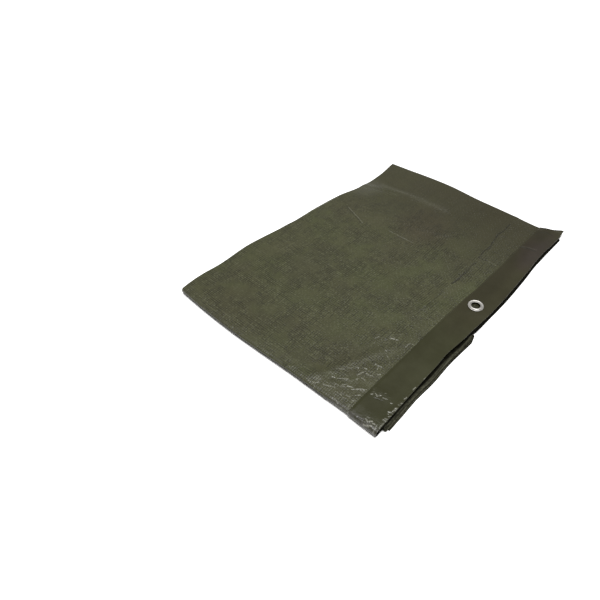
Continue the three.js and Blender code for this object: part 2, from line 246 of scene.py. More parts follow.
def makeStations():
    # one station is one line of points across the cloth
    stations = []
    runs = section["runs"]
    top = section["topRun"]
    for index, run in enumerate(runs):
        for x in placesOfRun(run, index == top):
            z = float(heightOfRun(run, x))
            stations.append({"x": x, "z": z, "run": index, "next": index, "t": 0})
        if index + 1 == len(runs):
            break
        following = runs[index + 1]
        zStart = float(heightOfRun(run, run["end"]))
        zEnd = float(heightOfRun(following, following["start"]))
        radius = abs(zEnd - zStart) / 2
        steps = meshStep["wrapSteps"] if radius > meshStep["wrapRadius"] else meshStep["foldSteps"]
        outward = 1 if run["end"] > run["start"] else -1
        for i in range(1, steps):
            t = i / steps
            stations.append({
                "x": mix(run["end"], following["start"], t) + math.sin(math.pi * t) * radius * outward,
                "z": mix(zStart, zEnd, (1 - math.cos(math.pi * t)) / 2),
                "run": index, "next": index + 1, "t": t,
            })
    for i, station in enumerate(stations):
        before = stations[max(i - 1, 0)]
        after = stations[min(i + 1, len(stations) - 1)]
        dx = after["x"] - before["x"]
        dz = after["z"] - before["z"]
        length = math.hypot(dx, dz)
        station["normal"] = (-dz / length, dx / length)
        pair = (station["run"], station["next"])
        for name in ("near", "setBack", "bend"):
            station[name] = mix(*(runs[index][name] for index in pair), station["t"])
        station["flap"] = station["near"] < section["lastTuckedNear"]
        past = float(smooth(station["x"], *nearSlip["ramp"]))
        slips = [mix(nearSlip["over"][index], nearSlip["beyond"][index], past) for index in pair]
        station["near"] += mix(*slips, station["t"])
    # along is the length of cloth, equal to x where the top run starts
    along = 0
    for before, station in zip([stations[0]] + stations, stations):
        along += math.hypot(station["x"] - before["x"], station["z"] - before["z"])
        station["along"] = along
        station["inTop"] = station["run"] == top and station["next"] == top
    start = next(station for station in stations if station["inTop"])
    shift = start["x"] - start["along"]
    for station in stations:
        station["along"] += shift
        relief = 1 if top in (station["run"], station["next"]) else 0
        if not relief and station["along"] < 0:
            fade = section["reliefStart"]
            relief = max(0, 1 + (station["along"] - fade["full"]) / fade["length"])
        station["relief"] = relief * smooth(station["along"], *section["reliefEnd"])
    return stations


# Wrinkled places: middle, reach and how strongly the coating is creased there
wrinkledPlaces = records("x y reachX reachY strength", [
    (8, 25, 13, 42, 1.0), (4, 116, 8, 40, 0.7), (34, 78, 34, 26, 0.9), (66, 62, 22, 18, 0.9),
    (90, 92, 30, 26, 0.45), (127, 78, 16, 18, 0.9), (138, 50, 12, 10, 0.8), (12, 344, 50, 8, 0.5),
    (5, 240, 8, 120, 0.35),
])


def crumpleAt(places, x, y):
    total = np.zeros(np.shape(x))
    for place in places:
        far = ((x - place["x"]) / place["reachX"]) ** 2 + ((y - place["y"]) / place["reachY"]) ** 2
        total = np.maximum(total, place["strength"] * np.exp(-far))
    return total


def makePuckers(places, perArea, seed):
    # short ridges, nearly along y, scattered over the wrinkled places
    draw = random.Random(seed)
    puckers = []
    for place in places:
        for _ in range(round(perArea * place["reachX"] * place["reachY"] * place["strength"])):
            x = draw.gauss(place["x"], place["reachX"] * 0.6)
            y = draw.gauss(place["y"], place["reachY"] * 0.6)
            turn = math.radians(draw.gauss(100, 22))
            half = draw.uniform(3, 8)
            dx = half * math.cos(turn)
            dy = half * math.sin(turn)
            puckers.append({
                "line": [(x - dx, y - dy), (x + dx, y + dy)],
                "height": draw.uniform(0.15, 0.55) * place["strength"],
                "halfWidth": draw.uniform(1.6, 3.0),
            })
    return puckers


panelPuckers = makePuckers(wrinkledPlaces, 0.016, 4)


def panelRelief(x, y):
    # what the top ply alone shows: fine crumples, puckers and slack, always upwards
    crumple = crumpleAt(wrinkledPlaces, x, y)
    ridged = 1 - 2 * np.abs(noiseAt(x, y, 7, 13, 1.7))
    fine = np.maximum(ridged, 0) ** 2 * crumple * 0.3
    slack = (noiseAt(x, y, 34, 26, 8.1) + 0.5 * noiseAt(x, y, 13, 16, 3.3)) * 0.07 + 0.1
    total = addRidges(fine + np.maximum(slack, 0), panelPuckers, x, y)
    return total * smooth(y, *cloth["hemShade"]), crumple


# The cloth: three plies in each run, folded into each other at the far and near edges
cloth = {
    "thickness": 0.24,
    "plyOffset": 0.36,
    "fineRow": 2.0,
    "fineRowsUntil": 104,
    "hemmedRow": 7,
    "hemmedUntil": 42,
    "row": 2.9,
    "turnSteps": 4,
    "underHem": 0.5,
    "hemShade": (44, 50),
    "edgeWander": {"most": 0.28, "nearLength": 23, "farLength": 19, "perLayer": 7.3},
    "edgeDepth": 8,
    "darkFold": 0.52,
    "darkHemFold": 0.4,
    "darkFoldRamp": (50, 90),
}


def makeRows(isTop):
    # rows across the cloth: key to join unlike rows, reach from the near edge, offset from the
    # section and the sheet's own normal (towards y, and away from the section)
    rows = []
    width = section["panelWidth"]
    lift = cloth["plyOffset"]
    hemmed = cloth["hemmedRow"]
    turnSteps = cloth["turnSteps"]

    def addPly(number, offset, reaches, up):
        for reach in reaches:
            key = number + abs(reach - reaches[0]) / width
            rows.append((key, reach, offset, 0, 1 if number == 0 else 0, 0, up))

    def addTurn(number, middle, edge, up):
        for i in range(1, turnSteps):
            angle = math.pi * i / turnSteps
            outY = math.sin(angle) if edge else -math.sin(angle)
            outN = math.cos(angle)
            first = 1 - i / turnSteps if number == 1 else 0
            rows.append((number + 0.1 * i / turnSteps, edge, middle + lift / 2 * outN,
                         lift / 2 * outY, first, outY * up, outN * up))

    fine = [0, hemmed, *np.linspace(0, width, 13)[1:]]
    coarse = [0, hemmed, *np.linspace(0, width, 12)[1:]]
    if isTop:
        fine = [0]
        while fine[-1] < width:
            step = cloth["fineRow"] if fine[-1] < cloth["fineRowsUntil"] else cloth["row"]
            fine.append(fine[-1] + (hemmed if fine[-1] < cloth["hemmedUntil"] else step))
        fine[-1] = width
    addPly(0, lift, fine, 1)
    addTurn(1, lift / 2, width, 1)
    addPly(1.2, 0, coarse[::-1], -1)
    addTurn(2.2, -lift / 2, 0, -1)
    addPly(2.4, -lift, coarse, 1)
    table = dict(zip(("key", "reach", "offset", "dy", "first", "upY", "upN"), np.array(rows, float).T))
    steps = np.hypot(np.diff(table["reach"] + table["dy"]), np.diff(table["offset"]))
    table["across"] = np.concatenate([[0], np.cumsum(steps)])
    return table


def clothPoints(station, rows, side):
    half = cloth["thickness"] / 2 * side
    offset = rows["offset"] + half * rows["upN"]
    x = station["x"] + station["normal"][0] * offset
    corner = section["tuckedCorner"]
    tucked = station["flap"]
    near = station["near"]
    if station["inTop"]:
        near += float(hemEdge(station["x"])) - cloth["underHem"]
    elif not tucked:
        near += float(drawnIn(station["x"]))
    else:
        near += float(tuckedEdge(station["x"]))
        near += float(smooth(station["x"], corner["start"], corner["end"])) * corner["rise"]
    far = float(farEdge(station["x"])) - station["setBack"]
    edge = cloth["edgeWander"]
    layer = station["run"] * edge["perLayer"]
    near += edge["most"] * noise.noise(Vector((station["along"] / edge["nearLength"], layer, 0.5)))
    far += edge["most"] * noise.noise(Vector((station["along"] / edge["farLength"], layer, 4.5)))
    straight = section["straightRows"]
    beyond = (rows["reach"] - straight) / (section["panelWidth"] - straight)
    y = near + np.where(rows["reach"] <= straight, rows["reach"], mix(straight, far - near, beyond))
    y = y + rows["dy"] + half * rows["upY"]
    relief = np.zeros(len(y))
    crumple = np.zeros(len(y))
    if station["relief"] > 0:
        relief, crumple = panelRelief(np.full(len(y), station["along"]), y)
        relief = relief * station["relief"] * rows["first"]
        crumple = crumple * rows["first"]
    z = station["z"] + station["normal"][1] * (offset + relief)
    z = z + station["bend"] * unevenness(station["x"], y)
    if station["inTop"]:
        z = z + addRidges(0, softCreases, np.full(len(y), station["x"]), y)
    x = x + station["normal"][0] * relief
    if not tucked:
        x = toOutline(x, y, wrappedFold, tightFold)
        under = 0 if station["inTop"] else smooth(station["x"], *cornerReach["ramp"])
        if section["topRun"] in (station["run"], station["next"]):
            under = under * station["t"]
        away = (y - cornerReach["middle"]) / cornerReach["halfWidth"]
        x = x + cornerReach["most"] * under * np.exp(-away**2)
    return np.stack([x, y, z], axis=1), crumple, edgesOfCloth(station, rows, y - near)


def edgesOfCloth(station, rows, inward):
    # where the cloth lies in shade: the stack's near side, under the outermost fold and the
    # tucked end
    if station["run"] == section["topRun"] - 1 and station["t"] > 0:
        dark = mix(cloth["darkHemFold"], cloth["darkFold"], smooth(inward, *cloth["darkFoldRamp"]))
        return (rows["first"] > 0.5) & (station["t"] < dark)
    return (inward < cloth["edgeDepth"]) | (station["run"] < 2)


def joinRows(faces, lineA, keysA, lineB, keysB, flip):
    # joins two lines of points, by quads where their rows agree and by triangles elsewhere
    a = b = 0
    while a < len(lineA) - 1 or b < len(lineB) - 1:
        canA = a < len(lineA) - 1
        canB = b < len(lineB) - 1
        if canA and canB and abs(keysA[a + 1] - keysB[b + 1]) < 1e-6:
            face = (lineA[a], lineB[b], lineB[b + 1], lineA[a + 1])
            a, b = a + 1, b + 1
        elif canA and (not canB or keysA[a + 1] <= keysB[b + 1]):
            face = (lineA[a], lineB[b], lineA[a + 1])
            a += 1
        else:
            face = (lineA[a], lineB[b], lineB[b + 1])
            b += 1
        faces.append(face[::-1] if flip else face)


def buildSheet(name, stations, rowsOf, pointsOf):
    # a closed sheet: an upper and a lower skin, joined along its two edges and two ends
    points = []
    faces = []
    maps = []
    crumples = []
    edges = []
    lines = []
    count = 0
    for station in stations:
        rows = rowsOf(station)
        pair = []
        for side in (1, -1):
            place, crumple, edge = pointsOf(station, rows, side)
            points.append(place)
            maps.append(np.stack([np.full(len(place), station["along"]), rows["across"]], axis=1))
            crumples.append(crumple)
            edges.append(edge)
            pair.append(list(range(count, count + len(place))))
            count += len(place)
        lines.append((pair[0], pair[1], rows["key"]))
    for (upperA, lowerA, keysA), (upperB, lowerB, keysB) in zip(lines, lines[1:]):
        joinRows(faces, upperA, keysA, upperB, keysB, False)
        joinRows(faces, lowerA, keysA, lowerB, keysB, True)
        faces.append((lowerA[0], lowerB[0], upperB[0], upperA[0]))
        faces.append((upperA[-1], upperB[-1], lowerB[-1], lowerA[-1]))
    for (upper, lower, _), turned in ((lines[0], False), (lines[-1], True)):
        for i in range(len(upper) - 1):
            face = (upper[i], upper[i + 1], lower[i + 1], lower[i])
            faces.append(face[::-1] if turned else face)
    points = np.concatenate(points) * mm + np.array([cornerX, cornerY, 0])
    maps = np.concatenate(maps) * mm
    mesh = bpy.data.meshes.new(name)
    mesh.from_pydata(points.tolist(), [], faces)
    uvLayer = mesh.uv_layers.new(name="cloth")
    corners = np.empty(len(mesh.loops), dtype=np.int32)
    mesh.loops.foreach_get("vertex_index", corners)
    uvLayer.data.foreach_set("uv", maps[corners].astype(np.float32).ravel())
    attribute = mesh.attributes.new("crumple", "FLOAT", "POINT")
    attribute.data.foreach_set("value", np.concatenate(crumples).astype(np.float32))
    # faces of the edges take the piece's second material
    edges = np.concatenate(edges)
    onEdge = [int(all(edges[corner] for corner in face)) for face in faces]
    mesh.polygons.foreach_set("material_index", onEdge)
    shape = bmesh.new()
    shape.from_mesh(mesh)
    bmesh.ops.recalc_face_normals(shape, faces=shape.faces)
    shape.to_mesh(mesh)
    shape.free()
    mesh.shade_smooth()
    piece = bpy.data.objects.new(name, mesh)
    bpy.context.scene.collection.objects.link(piece)
    return piece


stations = makeStations()
topRows = makeRows(True)
hiddenRows = makeRows(False)


def rowsOfCloth(station):
    return topRows if section["topRun"] in (station["run"], station["next"]) else hiddenRows


clothPiece = buildSheet("tarp_cloth", stations, rowsOfCloth, clothPoints)
print("cloth folded:", len(clothPiece.data.polygons), "faces")

# The hem: the top ply's edge turned up and sealed. Its free corner stands out as an ear.
hem = {
    "width": 43.6,
    "thickness": 0.36,
    "level": 1.52,
    "innerLevel": 0.62,
    "slope": 3.4,
    "rimRadius": 0.38,
    "rimSteps": 6,
    "underReach": 18,
    "turnedUnder": 6,
    "row": 1.5,
    "step": 1.9,
    "endFrom": 475.3,
    "ear": {"from": 485, "to": 497, "droop": 1.4},
    "corner": {"alongRamp": (471, 483), "acrossRamp": (25, 38), "droop": 1.6},
    "eyeletBulge": {"height": 0.8, "ramp": (12, 34)},
    "hole": {"radius": 7.1, "middleHeight": 9.5, "depth": 12},
    "wrinkles": records("x y reachX reachY strength", [
        (4, 10, 10, 22, 1.0), (48, 28, 8, 14, 0.8), (30, 2, 45, 5, 0.9), (110, 1, 60, 3.5, 0.6),
    ]),
}
hemInner = curveThrough([(0, 43.6), (135, 42.6), (260, 41.2), (310, 39), (360, 38), (497, 38.5)])
hemEnd = curveThrough([(0, 499), (6.6, 499), (20, 488.6), (32, 484.5), (45, 481)])
hemReach = hem["ear"]["to"] / section["panelLength"]


def makeHemStations():
    top = section["topRun"]
    folded = [station for station in stations if station["run"] == top - 1]
    wrap = [station for station in folded if station["t"] > 0]
    under = [station for station in folded if station["t"] == 0 and station["x"] <= hem["underReach"]]
    run = section["runs"][top]
    end = run["end"] + 1
    places = []
    x = run["start"]
    while x < min(end, hem["endFrom"] - 0.5):
        places.append(x)
        x += hem["step"]
    # the last places lie close together, for the dark edge of the hem's end
    places += list(np.linspace(hem["endFrom"], end, 3))
    flat = []
    for x in places:
        z = float(heightOfRun(run, x))
        flat.append({"x": x, "z": z, "normal": (0, 1), "bend": 1, "inTop": True, "along": x})
    return under + wrap + flat


def makeHemRows():
    # from the inner edge to the rim, round it and back underneath
    level = hem["level"]
    radius = hem["rimRadius"]
    places = []
    count = round(hem["width"] / hem["row"])
    for i in range(count + 1):
        rise = 1 - float(smooth(hem["width"] * i / count, 0, hem["slope"]))
        places.append((1 - i / count, level - (level - hem["innerLevel"]) * rise, 0, 0, 1))
    for i in range(1, hem["rimSteps"]):
        angle = math.pi * i / hem["rimSteps"]
        outY = -math.sin(angle)
        outN = math.cos(angle)
        places.append((0, level - radius + radius * outN, radius * outY, outY, outN))
    for reach in np.linspace(0, hem["turnedUnder"], 4):
        places.append((0, level - 2 * radius, reach, 0, -1))
    rows = dict(zip(("share", "offset", "dy", "upY", "upN"), np.array(places, float).T))
    rows["key"] = np.arange(len(places), dtype=float)
    inward = np.diff(rows["share"]) * hem["width"] - np.diff(rows["dy"])
    steps = np.hypot(inward, np.diff(rows["offset"]))
    rows["across"] = hem["width"] - np.concatenate([[0], np.cumsum(steps)])
    return rows


def hemRelief(x, y):
    crumple = crumpleAt(hem["wrinkles"], x, y)
    ridged = 1 - 2 * np.abs(noiseAt(x, y, 5, 8, 6.2))
    slack = (noiseAt(x, y, 40, 60, 2.2) + 0.6 * noiseAt(x, y, 15, 22, 9.4)) * 0.1
    return slack + np.maximum(ridged, 0) ** 2 * crumple * 0.35, crumple


def hemPoints(station, rows, side):
    half = hem["thickness"] / 2 * side
    reach = station["x"] * hemReach
    y = mix(float(hemEdge(reach)), float(hemInner(reach)), rows["share"])
    y = y + rows["dy"] + half * rows["upY"]
    relief, crumple = hemRelief(np.full(len(y), station["along"]), y)
    offset = rows["offset"] + half * rows["upN"] + relief
    x = toOutline(station["x"] + station["normal"][0] * offset, y, wrappedFold, hemEnd)
    z = station["z"] + station["normal"][1] * offset + station["bend"] * unevenness(station["x"], y)
    edges = rows["upN"] < 0.2
    if station["inTop"]:
        ear, corner, bulge = hem["ear"], hem["corner"], hem["eyeletBulge"]
        z = z + addRidges(0, softCreases, np.full(len(y), station["x"]), y)
        away = np.hypot(station["x"] - eyeletPlace["x"], y - eyeletPlace["y"])
        z = z + bulge["height"] * (1 - smooth(away, *bulge["ramp"]))
        z = z - smooth(x, ear["from"], ear["to"]) * ear["droop"]
        z = z - smooth(x, *corner["alongRamp"]) * smooth(y, *corner["acrossRamp"]) * corner["droop"]
        edges = edges | (station["x"] > hem["endFrom"] - 0.1)
    elif station["t"] < cloth["darkHemFold"]:
        edges = edges | True
    return np.stack([x, y, z], axis=1), crumple, edges


hemRows = makeHemRows()
hemPiece = buildSheet("tarp_hem", makeHemStations(), lambda station: hemRows, hemPoints)


def punchHem():
    hole = hem["hole"]
    place = (cornerX + eyeletPlace["x"] * mm, cornerY + eyeletPlace["y"] * mm, hole["middleHeight"] * mm)
    bpy.ops.object.select_all(action="DESELECT")
    bpy.ops.mesh.primitive_cylinder_add(
        vertices=48, radius=hole["radius"] * mm, depth=hole["depth"] * mm, location=place
    )
    punch = bpy.context.object
    cut = hemPiece.modifiers.new("hole", "BOOLEAN")
    cut.operation = "DIFFERENCE"
    cut.object = punch
    bpy.ops.object.select_all(action="DESELECT")
    hemPiece.select_set(True)
    bpy.context.view_layer.objects.active = hemPiece
    bpy.ops.object.modifier_apply(modifier=cut.name)
    bpy.data.objects.remove(punch)


punchHem()
print("hem laid:", len(hemPiece.data.polygons), "faces")

# The eyelet: rings of radius and height over its seat, from the barrel's foot up the bore, over
# the rolled lip, across the flange, round its rim and back down the barrel
eyelet = {
    "sides": 48,
    "seat": eyeletBox[1][2] / mm - 1.1,
    "foot": eyeletBox[0][2] / mm,
}


def makeEyelet():
    seat = eyelet["seat"]
    rings = [
        (6.0, eyelet["foot"]), (6.0, seat), (6.05, seat + 0.5), (6.3, seat + 0.92), (6.8, seat + 1.08),
        (7.3, seat + 0.92), (7.6, seat + 0.62), (8.4, seat + 0.52), (9.3, seat + 0.6), (9.9, seat + 0.86),
        (10.4, seat + 0.92), (10.85, seat + 0.66), (11.0, seat + 0.34), (10.8, seat + 0.06), (10.3, seat),
        (7.2, seat), (6.7, seat - 0.3), (6.7, eyelet["foot"]),
    ]
    place = (cornerX + eyeletPlace["x"] * mm, cornerY + eyeletPlace["y"] * mm)
    bpy.ops.object.select_all(action="DESELECT")
    bpy.ops.mesh.primitive_circle_add(
        vertices=eyelet["sides"], radius=rings[0][0] * mm, location=(*place, rings[0][1] * mm)
    )
    piece = bpy.context.object
    piece.name = "tarp_eyelet"
    bpy.ops.object.mode_set(mode="EDIT")
    bpy.ops.mesh.select_all(action="SELECT")
    for (radius, height), (nextRadius, nextHeight) in zip(rings, rings[1:]):
        rise = (0, 0, (nextHeight - height) * mm)
        bpy.ops.mesh.extrude_region_move(TRANSFORM_OT_translate={"value": rise})
        scale = nextRadius / radius
        bpy.ops.transform.resize(value=(scale, scale, 1), center_override=(*place, nextHeight * mm))
    bpy.ops.mesh.select_all(action="DESELECT")
    bpy.ops.mesh.select_non_manifold()
    bpy.ops.mesh.bridge_edge_loops()
    bpy.ops.mesh.select_all(action="SELECT")
    bpy.ops.mesh.normals_make_consistent(inside=False)
    bpy.ops.object.mode_set(mode="OBJECT")
    bpy.ops.object.transform_apply(location=True, rotation=True, scale=True)
    rounding = piece.modifiers.new("rounding", "SUBSURF")
    rounding.levels = rounding.render_levels = 1
    bpy.ops.object.modifier_apply(modifier=rounding.name)
    bpy.ops.object.shade_smooth()
    return piece


eyeletPiece = makeEyelet()
print("eyelet turned")


# Shader helpers. Their nodes go into the tree that newGroup or newMaterial made last.
building = {"tree": None}


def fill(socket, value):
    if isinstance(value, bpy.types.NodeSocket):
        building["tree"].links.new(value, socket)
    else:
        socket.default_value = value


def fillNamed(node, values):
    for label, value in values.items():
        fill(node.inputs[label], value)


def addNode(kind, values=(), **settings):
    # a new node with its first inputs filled in turn
    node = building["tree"].nodes.new(kind)
    for name, setting in settings.items():
        setattr(node, name, setting)
    for socket, value in zip(node.inputs, values):
        fill(socket, value)
    return node


def calc(operation, *values):
    return addNode("ShaderNodeMath", values, operation=operation).outputs[0]


def times(first, second):
    return calc("MULTIPLY", first, second)


def vectorCalc(operation, *values):
    node = addNode("ShaderNodeVectorMath", values, operation=operation)
    return node.outputs["Value" if operation in ("LENGTH", "DOT_PRODUCT") else "Vector"]


def ramp(value, low, high, outLow=0.0, outHigh=1.0):
    values = (value, low, high, outLow, outHigh)
    return addNode("ShaderNodeMapRange", values, interpolation_type="SMOOTHSTEP").outputs[0]


def noiseTexture(vector, scale, detail=2.0, rough=0.5, distortion=0.0):
    node = addNode("ShaderNodeTexNoise")
    fillNamed(node, {"Vector": vector, "Scale": scale, "Detail": detail})
    fillNamed(node, {"Roughness": rough, "Distortion": distortion})
    return node.outputs["Fac"]


def combine(x, y, z=0.0):
    return addNode("ShaderNodeCombineXYZ", (x, y, z)).outputs[0]


def separate(vector):
    return addNode("ShaderNodeSeparateXYZ", (vector,)).outputs[:2]


def blendColour(factor, first, second, way="MIX"):
    node = addNode("ShaderNodeMix", data_type="RGBA", blend_type=way)
    for index, value in ((0, factor), (6, first), (7, second)):
        fill(node.inputs[index], value)
    return node.outputs[2]


def paint(shader, look, base, layers):
    # lays colours of the look over its base colour, each by its own share
    colour = (*look[base], 1)
    for share, name, *way in layers:
        colour = blendColour(share, colour, (*look[name], 1), *way)
    fill(shader.inputs["Base Color"], colour)


def addUp(*pairs):
    total = 0.0
    for value, weight in pairs:
        total = calc("MULTIPLY_ADD", value, weight, total)
    return total


def newGroup(name, inputs, outputs):
    # a node group that takes a vector and the inputs given with their usual values
    group = bpy.data.node_groups.new(name, "ShaderNodeTree")
    group.interface.new_socket("Vector", in_out="INPUT", socket_type="NodeSocketVector")
    for label, value in inputs.items():
        kind = "NodeSocketVector" if isinstance(value, tuple) else "NodeSocketFloat"
        group.interface.new_socket(label, in_out="INPUT", socket_type=kind).default_value = value
    for label in outputs:
        group.interface.new_socket(label, in_out="OUTPUT", socket_type="NodeSocketFloat")
    building["tree"] = group
    given = addNode("NodeGroupInput")
    result = addNode("NodeGroupOutput")
    return group, given.outputs, result.inputs


def useGroup(group, **values):
    node = addNode("ShaderNodeGroup", node_tree=group)
    fillNamed(node, values)
    return node.outputs


def wander(vector, scale, reach):
    # the vector shifted by up to reach metres, so that what follows it isn't straight
    shiftX = calc("MULTIPLY_ADD", noiseTexture(vector, scale, 2.0, 0.6), 4 * reach, -2 * reach)
    other = vectorCalc("ADD", vector, (2.7, 5.1, 0.0))
    shiftY = calc("MULTIPLY_ADD", noiseTexture(other, scale, 2.0, 0.6), 4 * reach, -2 * reach)
    return vectorCalc("ADD", vector, combine(shiftX, shiftY))


def makeWeave():
    # flat tapes in a plain weave. A pit lies where four tapes meet, and some stretches of the
    # grooves between the tapes show too, all of them in patches. Their third output is painted
    # sheen on the crowns of the tapes.
    labels = ("Height", "Groove", "Light", "Tint")
    group, given, result = newGroup("tapeWeave", {"Pitch": 0.0032}, labels)
    pitch = combine(given["Pitch"], given["Pitch"], 1.0)
    scaled = vectorCalc("DIVIDE", wander(given["Vector"], 22.0, 0.0005), pitch)
    a, b = separate(scaled)
    area = ramp(noiseTexture(scaled, 0.085, 3.0, 0.65), 0.38, 0.56, 0.25, 1.0)
    single = ramp(noiseTexture(scaled, 0.8, 1.0, 0.5), 0.35, 0.6, 0.45, 1.0)
    heights = []
    grooves = []
    edges = []
    lights = []
    tints = []
    for one, other, seed in ((a, b, 3.1), (b, a, 17.9)):
        across = calc("ABSOLUTE", calc("MULTIPLY_ADD", calc("FRACT", one), 2.0, -1.0))
        crown = calc("SUBTRACT", 1.0, calc("POWER", across, 4.0))
        arch = calc("SINE", times(calc("FRACT", other), math.pi))
        heights.append(times(crown, calc("MULTIPLY_ADD", arch, 0.45, 0.55)))
        edges.append(ramp(across, 0.3, 0.85))
        line = times(calc("FLOOR", calc("ADD", one, 0.5)), 7.37)
        place = combine(line, times(other, 0.2), seed)
        dash = ramp(noiseTexture(place, 1.0, 2.0, 0.6), 0.44, 0.58)
        grooves.append(times(ramp(across, 0.45, 0.95), dash))
        tape = times(calc("FLOOR", one), 5.71)
        streak = noiseTexture(combine(tape, times(other, 0.12), seed + 5), 1.0, 3.0, 0.65)
        tints.append(streak)
        light = times(ramp(streak, 0.48, 0.66), crown)
        lights.append(times(light, calc("MULTIPLY_ADD", area, 0.75, 0.25)))
    over = calc("FLOORED_MODULO", calc("ADD", calc("FLOOR", a), calc("FLOOR", b)), 2.0)
    under = calc("SUBTRACT", 1.0, over)
    for entries, label in ((heights, "Height"), (tints, "Tint"), (lights, "Light")):
        fill(result[label], calc("MULTIPLY_ADD", entries[0], over, times(entries[1], under)))
    pits = times(times(*edges), single)
    lines = times(calc("MAXIMUM", *grooves), 0.95)
    fill(result["Groove"], times(calc("MAXIMUM", pits, lines), area))
    return group


def makeMottle():
    # broad changes of shade over the cloth, and where it turns warmer or greener
    group, given, result = newGroup("mottle", {}, ("Shade", "Warm", "Green"))
    broad = noiseTexture(given["Vector"], 15.0, 3.0, 0.55, 0.4)
    fine = noiseTexture(given["Vector"], 70.0, 3.0, 0.6)
    fill(result["Shade"], ramp(calc("MULTIPLY_ADD", broad, 0.7, times(fine, 0.3)), 0.3, 0.7))
    for label, shift, scale in (("Warm", (3.1, 1.7, 0.4), 11.0), ("Green", (7.3, 2.2, 5.8), 13.0)):
        moved = vectorCalc("ADD", given["Vector"], shift)
        fill(result[label], ramp(noiseTexture(moved, scale, 2.0, 0.5, 0.6), 0.42, 0.64))
    return group


def makeCrinkle():
    # sharp little creases of the coating
    group, given, result = newGroup("crinkle", {"Size": 0.006}, ("Height",))
    size = combine(given["Size"], times(given["Size"], 2.2), 1.0)
    scaled = vectorCalc("DIVIDE", given["Vector"], size)
    parts = []
    for scale, weight, shift in ((1.0, 0.65, 0.0), (2.3, 0.35, 5.3)):
        moved = vectorCalc("ADD", scaled, (shift, shift, shift))
        value = noiseTexture(moved, scale, 1.0, 0.5, 0.5)
        folded = calc("ABSOLUTE", calc("SUBTRACT", value, 0.5))
        parts.append(times(calc("SUBTRACT", 0.5, folded), weight * 2))
    fill(result["Height"], calc("ADD", *parts))
    return group


def makeDashes():
    # short creases scattered over the coating, nearly all one way
    usual = {"Length": 0.008, "Width": 0.0012, "Turn": (0.94, 0.34, 0)}
    group, given, result = newGroup("dashes", usual, ("Dash",))
    bent = wander(given["Vector"], 70.0, 0.0008)
    turnX, turnY = separate(given["Turn"])
    square = combine(times(turnY, -1.0), turnX)
    x = calc("DIVIDE", vectorCalc("DOT_PRODUCT", bent, given["Turn"]), given["Width"])
    y = calc("DIVIDE", vectorCalc("DOT_PRODUCT", bent, square), given["Length"])
    cells = addNode("ShaderNodeTexVoronoi")
    fillNamed(cells, {"Scale": 1.0, "Vector": combine(times(x, 0.34), y)})
    kept = ramp(separate(cells.outputs["Color"])[0], 0.35, 0.6)
    fill(result["Dash"], times(ramp(cells.outputs["Distance"], 0.36, 0.14), kept))
    return group


def makeFoldLine():
    # a crease from Start to End that fades over Width
    usual = {"Start": (0, 0, 0), "End": (0.1, 0, 0), "Width": 0.001}
    group, given, result = newGroup("foldLine", usual, ("Line",))
    reach = vectorCalc("SUBTRACT", given["End"], given["Start"])
    away = vectorCalc("SUBTRACT", given["Vector"], given["Start"])
    length2 = vectorCalc("DOT_PRODUCT", reach, reach)
    share = calc("DIVIDE", vectorCalc("DOT_PRODUCT", away, reach), length2)
    held = calc("MINIMUM", calc("MAXIMUM", share, 0.0), 1.0)
    nearest = vectorCalc("MULTIPLY", reach, combine(held, held, held))
    distance = vectorCalc("LENGTH", vectorCalc("SUBTRACT", away, nearest))
    fill(result["Line"], ramp(calc("DIVIDE", distance, given["Width"]), 1.0, 0.0))
    return group


weaveGroup = makeWeave()
mottleGroup = makeMottle()
crinkleGroup = makeCrinkle()
dashesGroup = makeDashes()
foldLineGroup = makeFoldLine()


def newMaterial(name):
    material = bpy.data.materials.new(name)
    material.use_nodes = True
    building["tree"] = material.node_tree
    return material, material.node_tree.nodes["Principled BSDF"]


def clothVector():
    return addNode("ShaderNodeUVMap", uv_map="cloth").outputs[0]


def bumpOf(height):
    # height in millimetres
    bump = addNode("ShaderNodeBump")
    fillNamed(bump, {"Distance": mm, "Height": height})
    return bump.outputs[0]


def onPanel(x, y):
    # a place on the top panel in the cloth's own length and width, in metres
    straight = section["straightRows"]
    reach = y - section["runs"][section["topRun"]]["near"]
    if reach > straight:
        drawn = (float(farEdge(x)) - y + reach - straight) / (section["panelWidth"] - straight)
        reach = straight + (reach - straight) / drawn
    shift = float(toOutline(x, y, wrappedFold, tightFold)) - x
    return (x - shift) * mm, reach * mm, 0


def onHem(x, y):
    shift = float(toOutline(x, y, wrappedFold, hemEnd)) - x
    share = (y - float(hemEdge(x))) / (float(hemInner(x)) - float(hemEdge(x)))
    return (x - shift) * mm, share * hem["width"] * mm, 0


def drawLines(vector, place, table):
    # lines through given points, each as (width, strength, points)
    total = 0.0
    for width, strength, points in table:
        placed = [place(x, y) for x, y in points]
        for start, end in zip(placed, placed[1:]):
            line = useGroup(foldLineGroup, Vector=vector, Start=start, End=end, Width=width * mm)["Line"]
            total = calc("MAXIMUM", times(line, strength), total)
    return total


def paleCreasesAndGlints(vector, bent, crumple, dashes, look, place):
    # pale marks, partly the coating's whitening at creases and partly painted glints: listed lines and
    # scattered specks, both beaded
    beads = ramp(noiseTexture(vector, 430.0, 2.0, 0.6), 0.38, 0.56, 0.2, 1.0)
    specks = times(dashes, ramp(crumple, 0.25, 0.8, 0.0, look["specks"]))
    return times(calc("MAXIMUM", drawLines(bent, place, look["paleCreaseLines"]), specks), beads)


def spot(vector, middle, reachX, reachY):
    # a soft oval, 1 in its middle; sizes in metres
    away = vectorCalc("SUBTRACT", vector, middle)
    far = vectorCalc("LENGTH", vectorCalc("MULTIPLY", away, (1 / reachX, 1 / reachY, 0)))
    return ramp(far, 1.0, 0.2)


